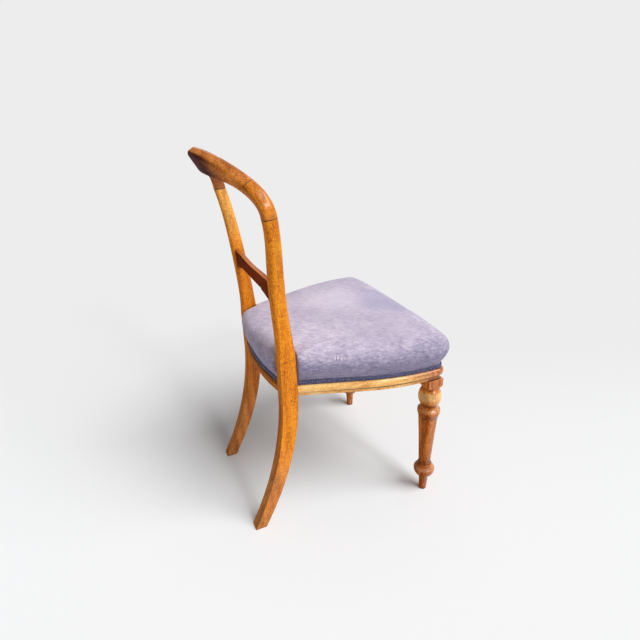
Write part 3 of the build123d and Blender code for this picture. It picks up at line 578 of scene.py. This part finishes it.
# the outside of the CAD cover, closed underneath
cushion = merged_copy("seat_cushion", "seat_cover")
shape = bmesh.new()
shape.from_mesh(cushion.data)
middle = Vector((0, 0, hessian_top))
turned_down = -0.9
inner = [
    face
    for face in shape.faces
    if face.normal.z < turned_down or face.normal.dot(face.calc_center_median() - middle) < 0
]
bmesh.ops.delete(shape, geom=inner, context="FACES")
bmesh.ops.holes_fill(shape, edges=[e for e in shape.edges if e.is_boundary], sides=0)
bmesh.ops.triangulate(shape, faces=shape.faces)
bmesh.ops.recalc_face_normals(shape, faces=shape.faces)
shape.to_mesh(cushion.data)
shape.free()
remesh = cushion.modifiers.new("remesh", "REMESH")
remesh.mode = "VOXEL"
remesh.voxel_size = voxel
apply_modifiers(cushion)

# held at the foot, where it is tacked, and free from held_share of the held height up
held_height = 0.012
held_share = 1.6
held = cushion.vertex_groups.new(name="tacked")
for vertex in cushion.data.vertices:
    rise = vertex.co.z - foot_z
    grip = clamped(held_share - rise / held_height)
    if grip > 0:
        held.add([vertex.index], grip, "REPLACE")

# a little more crown in front and less at the front corners than the CAD cover has
front_crown = 0.003
corner_drop = 0.006
crown_foot = 0.42
crown_rise = 0.05
front_start = 0.05
front_run = 0.2
half_width = 0.235
for vertex in cushion.data.vertices:
    rise = clamped((vertex.co.z - crown_foot) / crown_rise)
    front = clamped((-vertex.co.y - front_start) / front_run)
    aside = clamped(abs(vertex.co.x) / half_width)
    vertex.co.z += rise * (front_crown * front * (1 - aside**2) - corner_drop * front**2 * aside**4)

# the start of the pad is smaller, but not at its foot
start_inset = 0.0015
full_shape = [vertex.co.copy() for vertex in cushion.data.vertices]
normals = [vertex.normal.copy() for vertex in cushion.data.vertices]
for vertex, normal in zip(cushion.data.vertices, normals):
    vertex.co -= normal * start_inset * clamped((vertex.co.z - foot_z) / held_height)

# blown up as cloth, and kept near its full shape
last_step = 20
most_proud = 0.002
most_drawn_in = 0.006
cloth = cushion.modifiers.new("velvet", "CLOTH")
cloth.settings.quality = 6
cloth.settings.mass = 0.3
cloth.settings.tension_stiffness = 25
cloth.settings.compression_stiffness = 25
cloth.settings.shear_stiffness = 12
cloth.settings.bending_stiffness = 0.5
cloth.settings.use_pressure = True
cloth.settings.uniform_pressure_force = 0.8
cloth.settings.vertex_group_mass = "tacked"
cloth.settings.effector_weights.gravity = 0
cloth.collision_settings.use_collision = False
for step in range(1, last_step + 1):
    bpy.context.scene.frame_set(step)
apply_modifiers(cushion)
bpy.context.scene.frame_set(1)
for vertex, place, normal in zip(cushion.data.vertices, full_shape, normals):
    leave = vertex.co - place
    most = most_proud if leave.dot(normal) > 0 else most_drawn_in
    if leave.length > most:
        vertex.co = place + leave.normalized() * most

# cut level at the foot, then a turned-in hem and a flat underside on the hessian
shape = bmesh.new()
shape.from_mesh(cushion.data)
bmesh.ops.smooth_vert(
    shape, verts=shape.verts, factor=0.5, use_axis_x=True, use_axis_y=True, use_axis_z=True
)
bmesh.ops.bisect_plane(
    shape, geom=[*shape.verts, *shape.edges, *shape.faces],
    plane_co=(0, 0, foot_z + hem_height), plane_no=(0, 0, 1), clear_inner=True,
)
for vertex in shape.verts:
    vertex.co = clear_of_posts(vertex.co)
hem_points, hem = pulled_out(shape, [edge for edge in shape.edges if edge.is_boundary])
for vertex in hem_points:
    vertex.co.z = foot_z + hem_clearance
inside_points, inside = pulled_out(shape, hem)
for vertex in inside_points:
    flat = Vector((vertex.co.x, vertex.co.y, 0))
    vertex.co -= flat.normalized() * cover_thickness
under_points, _ = pulled_out(shape, inside)
for vertex in under_points:
    vertex.co.z = hessian_top + hessian_clearance
bmesh.ops.holes_fill(shape, edges=[e for e in shape.edges if e.is_boundary], sides=0)
bmesh.ops.triangulate(shape, faces=[f for f in shape.faces if len(f.verts) > 4])
bmesh.ops.recalc_face_normals(shape, faces=shape.faces)
shape.to_mesh(cushion.data)
shape.free()
cushion.data.shade_smooth()


def drifts_and_painted_light(tree, colour, place, tone, patches):
    """The colour with bluer and pinker drifts, and hand-wide patches of painted light and shade."""
    # bluer and pinker drifts a hand wide
    drift = noise(
        tree, scaled(tree, place, (0.7, 1.2, 1.6), (0, 0, 0.6)), scale=7.0, roughness=0.6, distortion=0.7
    )
    bluer = mixed(tree, tone, shade(150, 148, 180), shade(200, 196, 220))
    pinker = mixed(tree, tone, shade(204, 188, 202), shade(234, 222, 230))
    colour = mixed(tree, span(tree, drift, 0.48, 0.66, 0.0, 0.28), colour, bluer)
    colour = mixed(tree, span(tree, drift, 0.34, 0.48, 0.22, 0.0), colour, pinker)
    # painted light in a pale patch on top, and painted shade in darker patches at the front,
    # towards the back and towards the right side
    for centre, reach, weight, tint in (
        ((0.04, -0.07, 0.48), 0.11, 0.5, (232, 221, 236)),
        ((-0.03, -0.2, 0.465), 0.13, 0.6, (176, 172, 200)),
        ((-0.02, 0.03, 0.48), 0.07, 0.35, (184, 172, 196)),
        ((-0.17, -0.1, 0.465), 0.13, 0.45, (180, 171, 192)),
    ):
        apart = node(tree, "ShaderNodeVectorMath", {0: place, 1: centre}, operation="DISTANCE")
        apart = plus(tree, apart.outputs["Value"], swing(tree, patches, 0.1))
        near = span(tree, apart, reach * 0.25, reach, weight, 0.0)
        colour = mixed(tree, near, colour, figured(tree, tone, tint, 0.92, 1.08))
    return colour


def scuffed(tree, colour, place):
    """The colour with three short pale scuffs on the side."""
    x, y, z = axes(tree, place)
    on_side = maths(tree, "LESS_THAN", x, -0.15)
    lean = 0.35
    for scuff_y, scuff_z, reach in (
        (0.0335, 0.4452, 0.0042), (0.0275, 0.4462, 0.0048), (0.0205, 0.443, 0.003),
    ):
        down = minus(tree, z, scuff_z)
        over = plus(tree, minus(tree, y, scuff_y), times(tree, down, lean))
        across_it = span(tree, maths(tree, "ABSOLUTE", over), 0.0006, 0.0018, 0.75, 0.0)
        along_it = span(tree, maths(tree, "ABSOLUTE", down), reach * 0.7, reach, 1.0, 0.0)
        scuff = times(tree, across_it, along_it, on_side)
        colour = mixed(tree, scuff, colour, shade(226, 216, 222))
    return colour


def velvet():
    """Cotton velvet: soft nap brushed both ways, painted light on top, painted shade and crushed pile low
    down.
    """
    material, tree, shader, place = blank_material("lavender_velvet")
    # streaks brushed into the pile by hands and sitting, patches where it lies the other way
    brushed = scaled(tree, scaled(tree, place, (1, 1, 1), (0, 0, 0.4)), (1.0, 0.24, 0.7))
    streaks = noise(tree, brushed, scale=300.0, detail=4.0, roughness=0.65, distortion=0.6)
    laid_over = scaled(tree, place, (1, 0.7, 1))
    patches = noise(tree, laid_over, scale=21.0, detail=4.0, roughness=0.6, distortion=0.8)
    fibres = noise(tree, place, scale=950.0, roughness=0.75)
    tone = weighed(tree, (streaks, 0.5), (patches, 0.14), (fibres, 0.36))
    colour = ramp(tree, tone, 0.42, 0.58, (182, 172, 196), (204, 193, 212), (224, 213, 228))
    colour = drifts_and_painted_light(tree, colour, place, tone, patches)
    # pinker on the faces turned to the back
    facing = node(tree, "ShaderNodeNewGeometry").outputs["Normal"]
    behind = span(tree, dot(tree, facing, to_back), 0.2, 0.9, 0.0, 0.5)
    colour = mixed(tree, behind, colour, shade(204, 178, 188))
    # darker where it is pulled down to the braid: crushed pile, and painted shade on the lower side
    _, _, z = axes(tree, place)
    pulled = plus(tree, z, swing(tree, patches, 0.05), swing(tree, streaks, 0.03))
    crushed_and_shaded = node(tree, "ShaderNodeMapRange", {"Value": tone, "From Min": 0.4, "From Max": 0.6}).outputs[0]
    crushed_and_shaded = mixed(tree, crushed_and_shaded, shade(96, 92, 124), shade(152, 145, 170))
    colour = mixed(tree, span(tree, pulled, 0.412, 0.478, 0.9, 0.0), colour, crushed_and_shaded)
    colour = scuffed(tree, colour, place)
    pile = weighed(tree, (streaks, 0.6), (fibres, 0.4))
    depth = {"Height": pile, "Strength": 0.25, "Distance": 0.0009}
    feed(tree, shader, {
        "Base Color": colour,
        "Normal": node(tree, "ShaderNodeBump", depth).outputs[0],
        "Roughness": 0.95,
        "Specular IOR Level": 0.2,
        "Sheen Weight": 0.35,
        "Sheen Roughness": 0.4,
        "Sheen Tint": shade(226, 220, 240),
    })
    return material


cushion.data.materials.clear()
cushion.data.materials.append(velvet())
finer = cushion.modifiers.new("finer", "SUBSURF")
finer.levels = 1
finer.render_levels = 1
apply_modifiers(cushion)
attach(cushion, "root")
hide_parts("seat_cover", "stuffing")

# ---- braid ----------------------------------------------------------------------------------
# Navy gimp braid glued over the tacks at the foot of the cover: a flat band and two cords that
# wave over and under each other, so that their loops stand past both edges of the band.  One
# length runs from post to post round the front, one behind.
braid_low, braid_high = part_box("gimp_braid")
braid_middle_z = (braid_low.z + braid_high.z) / 2
loop_pitch = 0.0052
cord_radius = 0.00085
loop_reach = (braid_high.z - braid_low.z) / 2 - cord_radius
band_height = 0.0058
band_thickness = 0.0012


def braid_line(behind):
    """The outer line of one length of the CAD braid, in order, anticlockwise from above."""
    most_tilt = 0.3
    least_outwards = 0.5
    mesh = nodes["gimp_braid"].data
    places = set()
    for polygon in mesh.polygons:
        if abs(polygon.normal.z) > most_tilt or (polygon.center.y > post_face_y) != behind:
            continue
        out = Vector((polygon.center.x, polygon.center.y, 0)).normalized()
        if out.dot(polygon.normal) > least_outwards:
            for index in polygon.vertices:
                point = mesh.vertices[index].co
                places.add((round(point.x, 5), round(point.y, 5)))
    # the front length passes angle -90 degrees, the back one 90
    start = 0.0 if behind else -pi * 1.5
    return sorted(places, key=lambda place: (atan2(place[1], place[0]) - start) % (2 * pi))


def braid_material():
    """Rayon cord over a cotton core, twisted, with pale specks painted on as glints."""
    material, tree, shader, place = blank_material("navy_braid")
    along = node(tree, "ShaderNodeAttribute", attribute_name="along").outputs["Fac"]
    _, _, z = axes(tree, place)
    # radians of twist for each metre along the cord and up the loops
    lay = weighed(tree, (along, 5200.0), (z, 3400.0))
    twist = plus(tree, times(tree, maths(tree, "SINE", lay), 0.5), 0.5)
    painted_glints = span(tree, noise(tree, place, scale=620.0, roughness=0.6), 0.52, 0.66, 0.0, 0.75)
    colour = mixed(tree, twist, shade(28, 29, 58), shade(88, 90, 138))
    depth = {"Height": twist, "Strength": 0.5, "Distance": 0.0002}
    feed(tree, shader, {
        "Base Color": mixed(tree, painted_glints, colour, shade(188, 184, 214)),
        "Normal": node(tree, "ShaderNodeBump", depth).outputs[0],
        "Roughness": 0.62,
        "Sheen Weight": 0.15,
    })
    return material


def braid_tree(material):
    """Geometry nodes that lay the band and both cords along a line of edges."""
    tree = bpy.data.node_groups.new("gimp", "GeometryNodeTree")
    tree.interface.new_socket("Geometry", in_out="INPUT", socket_type="NodeSocketGeometry")
    for name in ("Pitch", "Reach", "Cord Radius", "Band Height", "Band Thickness"):
        tree.interface.new_socket(name, in_out="INPUT", socket_type="NodeSocketFloat")
    tree.interface.new_socket("Geometry", in_out="OUTPUT", socket_type="NodeSocketGeometry")
    asked = node(tree, "NodeGroupInput").outputs
    line = node(tree, "GeometryNodeMeshToCurve", {"Mesh": asked["Geometry"]}).outputs["Curve"]
    steps_per_loop = 9.0
    line = node(
        tree, "GeometryNodeResampleCurve",
        {"Curve": line, "Length": maths(tree, "DIVIDE", asked["Pitch"], steps_per_loop)}, mode="LENGTH",
    ).outputs["Curve"]
    line = node(tree, "GeometryNodeSetCurveNormal", {"Curve": line}, mode="Z_UP").outputs["Curve"]
    length = node(tree, "GeometryNodeSplineParameter").outputs["Length"]
    line = node(
        tree, "GeometryNodeStoreNamedAttribute",
        {"Geometry": line, "Name": "along", "Value": length}, data_type="FLOAT", domain="POINT",
    ).outputs["Geometry"]
    tangent = node(tree, "GeometryNodeInputTangent").outputs[0]
    outwards = node(
        tree, "ShaderNodeVectorMath", {0: tangent, 1: upwards}, operation="CROSS_PRODUCT"
    ).outputs[0]

    def laid(section, out_by, up_by):
        """The section swept along the line, pushed out and up by fields."""
        out = node(tree, "ShaderNodeVectorMath", {0: outwards, "Scale": out_by}, operation="SCALE")
        rise = node(tree, "ShaderNodeCombineXYZ", {2: up_by})
        both = node(tree, "ShaderNodeVectorMath", {0: out.outputs[0], 1: rise.outputs[0]}).outputs[0]
        moved = node(tree, "GeometryNodeSetPosition", {"Geometry": line, "Offset": both}).outputs[0]
        swept = {"Curve": moved, "Profile Curve": section, "Fill Caps": True}
        return node(tree, "GeometryNodeCurveToMesh", swept).outputs["Mesh"]

    band = node(
        tree, "GeometryNodeCurvePrimitiveQuadrilateral",
        {"Width": asked["Band Thickness"], "Height": asked["Band Height"]},
    ).outputs["Curve"]
    parts = [laid(band, times(tree, asked["Cord Radius"], -2.0), 0.0)]
    cord = node(
        tree, "GeometryNodeCurvePrimitiveCircle", {"Resolution": 6, "Radius": asked["Cord Radius"]}
    ).outputs["Curve"]
    turn = times(tree, maths(tree, "DIVIDE", length, asked["Pitch"]), pi)
    flattened = 0.6
    for phase in (0.0, pi):
        angle = plus(tree, turn, phase)
        rise = times(tree, maths(tree, "SINE", angle), asked["Reach"])
        over = times(tree, maths(tree, "COSINE", angle), asked["Cord Radius"], flattened)
        parts.append(laid(cord, minus(tree, over, asked["Cord Radius"]), rise))
    joined = tree.nodes.new("GeometryNodeJoinGeometry")
    for part in parts:
        tree.links.new(part, joined.inputs[0])
    whole = node(tree, "GeometryNodeRealizeInstances", {"Geometry": joined.outputs[0]}).outputs[0]
    whole = node(tree, "GeometryNodeSetMaterial", {"Geometry": whole, "Material": material}).outputs[0]
    node(tree, "NodeGroupOutput", {"Geometry": whole})
    return tree


points = []
edges = []
for behind in (False, True):
    places = braid_line(behind)
    edges += [(len(points) + step, len(points) + step + 1) for step in range(len(places) - 1)]
    points += [(x, y, braid_middle_z) for x, y in places]
braid_mesh = bpy.data.meshes.new("gimp")
braid_mesh.from_pydata(points, edges, [])
braid = bpy.data.objects.new("gimp", braid_mesh)
bpy.context.scene.collection.objects.link(braid)
layout = braid.modifiers.new("gimp", "NODES")
layout.node_group = braid_tree(braid_material())
braid_sizes = {
    "Pitch": loop_pitch, "Reach": loop_reach, "Cord Radius": cord_radius,
    "Band Height": band_height, "Band Thickness": band_thickness,
}
for socket in layout.node_group.interface.items_tree:
    if socket.name in braid_sizes:
        layout[socket.identifier] = braid_sizes[socket.name]
apply_modifiers(braid)
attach(braid, "root")
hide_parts("gimp_braid")

# ---- floor, camera and light ----------------------------------------------------------------
# A plain pale floor under even light, with one broad soft lamp from the sitter's right and front
# and a weak, narrow one lower down, which puts the highlights on the varnish.
background = shade(237, 237, 237)
floor_reach = 60.0
floor_mesh = bpy.data.meshes.new("floor")
floor_mesh.from_pydata(
    [(x * floor_reach, y * floor_reach, 0) for x, y in ((-1, -1), (1, -1), (1, 1), (-1, 1))],
    [],
    [(0, 1, 2, 3)],
)
floor = bpy.data.objects.new("floor", floor_mesh)
bpy.context.scene.collection.objects.link(floor)


def floor_paint():
    """Near white, painted a little bluer under the chair against the warm light that the wood reflects.

    It turns into the background towards the chair's left front and far off, so no edge shows.
    """
    material, tree, shader, place = blank_material("floor_paint")
    left_front = (0.92, -0.39, 0)
    off_middle = node(tree, "ShaderNodeVectorMath", {0: place}, operation="LENGTH").outputs["Value"]
    beyond = span(tree, dot(tree, place, left_front), -0.35, 0.8)
    as_background = maths(tree, "MAXIMUM", beyond, span(tree, off_middle, 1.0, 3.5))
    # a painted cool tint, against the warm light reflected off the wood
    under_chair = span(tree, off_middle, 0.1, 0.55, 1.0, 0.0)
    white = mixed(tree, under_chair, shade(246, 247, 248), shade(238, 242, 244))
    feed(tree, shader, {
        "Base Color": mixed(tree, as_background, white, background),
        "Roughness": 0.9,
        "Specular IOR Level": 0.0,
    })
    return material


floor.data.materials.append(floor_paint())

key_share = 0.68
accent_share = 0.08
world = bpy.data.worlds.new("studio")
bpy.context.scene.world = world
world.use_nodes = True
tree = world.node_tree
fill = tree.nodes["Background"]
feed(tree, fill, {"Color": (1, 1, 1, 1), "Strength": 1 - key_share - accent_share})
wall = node(tree, "ShaderNodeBackground", {"Color": background, "Strength": 1.0})
path = node(tree, "ShaderNodeLightPath").outputs
shown = maths(tree, "MAXIMUM", path["Is Camera Ray"], path["Is Glossy Ray"])
shown = maths(tree, "MAXIMUM", shown, path["Is Transmission Ray"])
either = node(tree, "ShaderNodeMixShader", {0: shown, 1: fill.outputs[0], 2: wall.outputs[0]})
tree.links.new(either.outputs[0], tree.nodes["World Output"].inputs["Surface"])

key_from = Vector((-0.62, -0.5, 1.0)).normalized()
key_spread = radians(40)
accent_from = Vector((-0.756, -0.206, 0.426)).normalized()
accent_spread = radians(9)
for name, share, spread, source in (
    ("key_lamp", key_share, key_spread, key_from),
    ("accent_lamp", accent_share, accent_spread, accent_from),
):
    sun = bpy.data.objects.new(name, bpy.data.lights.new(name, "SUN"))
    sun.data.energy = share * pi / source.z
    sun.data.angle = spread
    sun.rotation_mode = "QUATERNION"
    sun.rotation_quaternion = source.to_track_quat("Z", "Y")
    bpy.context.scene.collection.objects.link(sun)

camera_place = Vector((-0.983, 0.4041, 0.9424))
camera_yaw = radians(113.039)
camera_pitch = radians(24.8)
camera_roll = radians(-1.883)
camera_lens = 26.13
forward = Vector((
    sin(camera_yaw) * cos(camera_pitch), cos(camera_yaw) * cos(camera_pitch), -sin(camera_pitch)
))
level = Vector((cos(camera_yaw), -sin(camera_yaw), 0))
upright = level.cross(forward)
across = cos(camera_roll) * level + sin(camera_roll) * upright
up = -sin(camera_roll) * level + cos(camera_roll) * upright
camera = bpy.data.objects.new("camera", bpy.data.cameras.new("camera"))
camera.data.sensor_width = 36.0
camera.data.lens = camera_lens
camera.data.clip_start = 0.05
camera.data.clip_end = 200.0
turned = Matrix((across, up, -forward)).transposed().to_4x4()
camera.matrix_world = Matrix.Translation(camera_place) @ turned
bpy.context.scene.collection.objects.link(camera)
bpy.context.scene.camera = camera
bpy.context.scene.view_settings.view_transform = "Standard"
